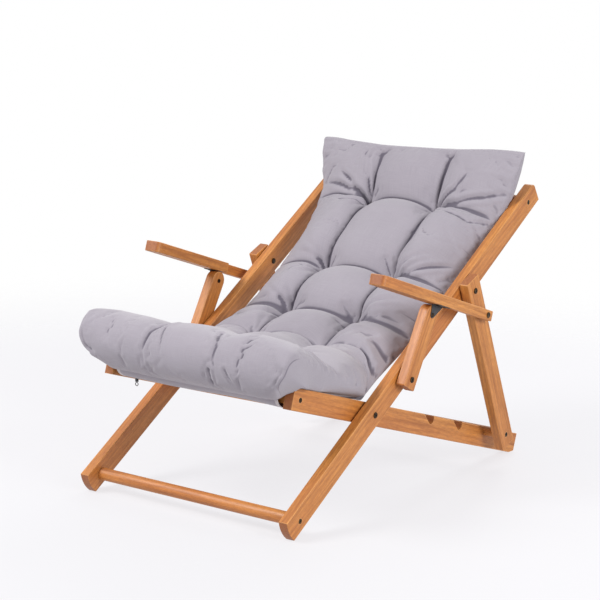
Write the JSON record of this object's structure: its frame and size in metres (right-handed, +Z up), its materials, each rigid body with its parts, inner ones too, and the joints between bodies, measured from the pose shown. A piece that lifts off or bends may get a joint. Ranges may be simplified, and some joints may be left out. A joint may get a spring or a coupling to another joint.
{
  "type": "lounge chair",
  "caption": "Folding wooden lounge chair with crossed rails, a notched rack for the prop frame, swinging armrests and a tufted hanging pad.",
  "frame": {"origin": "on the floor, under the middle of the chair's bounding box", "axes": "+Z up, the chair faces -Y, +X to the sitter's left; the chair is the same on both sides of X = 0 but for the zip"},
  "size_m": [0.6456, 0.9542, 0.703],
  "materials": {
    "oiled_wood": "satin varnish over reddish honey hardwood",
    "cushion_cotton": "matt woven cotton, lavender grey",
    "dark_brass": "darkened, satin",
    "black_steel": "black satin powder coat",
    "black_nylon": "matt",
    "zip_metal": "dark gunmetal"
  },
  "bodies": {
    "main_frame": {"main_rail_left": "oiled_wood", "main_rail_right": "oiled_wood", "foot_dowel": "oiled_wood", "foot_dowel_screws": "dark_brass", "top_dowel": "oiled_wood", "top_dowel_screws": "dark_brass", "rack_pivot_bolts": "dark_brass", "rack_pivot_nuts": "dark_brass", "rack_pivot_spacers": "black_nylon", "prop_pivot_washers": "black_nylon", "post_pivot_washers": "black_nylon", "cushion_back": "cushion_cotton", "top_sleeve": "cushion_cotton"},
    "rack_frame": {"rack_rail_left": "oiled_wood", "rack_rail_right": "oiled_wood", "front_bar": "oiled_wood", "front_bar_screws": "dark_brass", "cushion_seat": "cushion_cotton", "front_sleeve": "cushion_cotton", "zip_slider": "zip_metal", "zip_ring": "zip_metal"},
    "prop_frame": {"prop_rail_left": "oiled_wood", "prop_rail_right": "oiled_wood", "prop_bar": "oiled_wood", "prop_bar_screws": "dark_brass", "prop_pivot_bolts": "dark_brass", "prop_pivot_nuts": "dark_brass"},
    "post_left": {"arm_post_left": "oiled_wood", "post_bolt_left": "dark_brass", "post_nut_left": "dark_brass"},
    "arm_left": {"armrest_left": "oiled_wood", "arm_bracket_left": "black_steel", "bracket_screws_left": "dark_brass", "arm_rivet_left": "dark_brass", "arm_bolt_left": "dark_brass", "arm_washer_left": "black_steel"},
    "post_right": {"arm_post_right": "oiled_wood", "post_bolt_right": "dark_brass", "post_nut_right": "dark_brass"},
    "arm_right": {"armrest_right": "oiled_wood", "arm_bracket_right": "black_steel", "bracket_screws_right": "dark_brass", "arm_rivet_right": "dark_brass", "arm_bolt_right": "dark_brass", "arm_washer_right": "black_steel"}
  },
  "joints": [
    {"name": "frame_fold", "type": "hinge", "parent": "main_frame", "child": "rack_frame", "pos_m": [0, -0.16794, 0.20702], "axis": [1, 0, 0], "range_deg": [0, 39]},
    {"name": "prop_swing", "type": "hinge", "parent": "main_frame", "child": "prop_frame", "pos_m": [0, 0.17133, 0.42819], "axis": [1, 0, 0], "range_deg": [0, 98]},
    {"name": "post_swing_left", "type": "hinge", "parent": "main_frame", "child": "post_left", "pos_m": [0, -0.07118, 0.27009], "axis": [1, 0, 0], "range_deg": [-29.32, 0]},
    {"name": "arm_tilt_left", "type": "hinge", "parent": "post_left", "child": "arm_left", "pos_m": [0, -0.00149, 0.39952], "axis": [1, 0, 0], "range_deg": [0, 67.19]},
    {"name": "post_swing_right", "type": "hinge", "parent": "main_frame", "child": "post_right", "pos_m": [0, -0.07118, 0.27009], "axis": [1, 0, 0], "range_deg": [-29.32, 0]},
    {"name": "arm_tilt_right", "type": "hinge", "parent": "post_right", "child": "arm_right", "pos_m": [0, -0.00149, 0.39952], "axis": [1, 0, 0], "range_deg": [0, 67.19]}
  ],
  "couplings": [
    {"joint": "prop_swing", "follows": "frame_fold", "ratio": 2.5},
    {"joint": "post_swing_left", "follows": "frame_fold", "ratio": -0.739},
    {"joint": "arm_tilt_left", "follows": "frame_fold", "ratio": 1.71},
    {"joint": "post_swing_right", "follows": "frame_fold", "ratio": -0.739},
    {"joint": "arm_tilt_right", "follows": "frame_fold", "ratio": 1.71}
  ]
}
